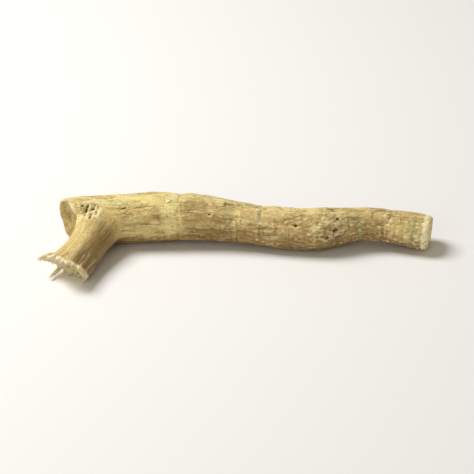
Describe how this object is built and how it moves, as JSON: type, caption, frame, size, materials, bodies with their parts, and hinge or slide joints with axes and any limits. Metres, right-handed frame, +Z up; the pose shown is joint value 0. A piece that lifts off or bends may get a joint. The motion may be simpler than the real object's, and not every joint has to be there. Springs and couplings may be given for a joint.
{
  "type": "ashwagandha root",
  "caption": "Dried wrinkled root with a thick crown, a torn-off side root and a square-cut tip, lying on its side.",
  "frame": {"origin": "middle of the box round the root, on the surface that it lies on", "axes": "+X along the main root from the crown to the tip, +Z up from the surface; the side root points towards -Y"},
  "size_m": [0.1182, 0.039, 0.015],
  "materials": {
    "dried_bark": "matt"
  },
  "bodies": {
    "root": {"ashwagandha_root": "dried_bark"}
  },
  "joints": []
}
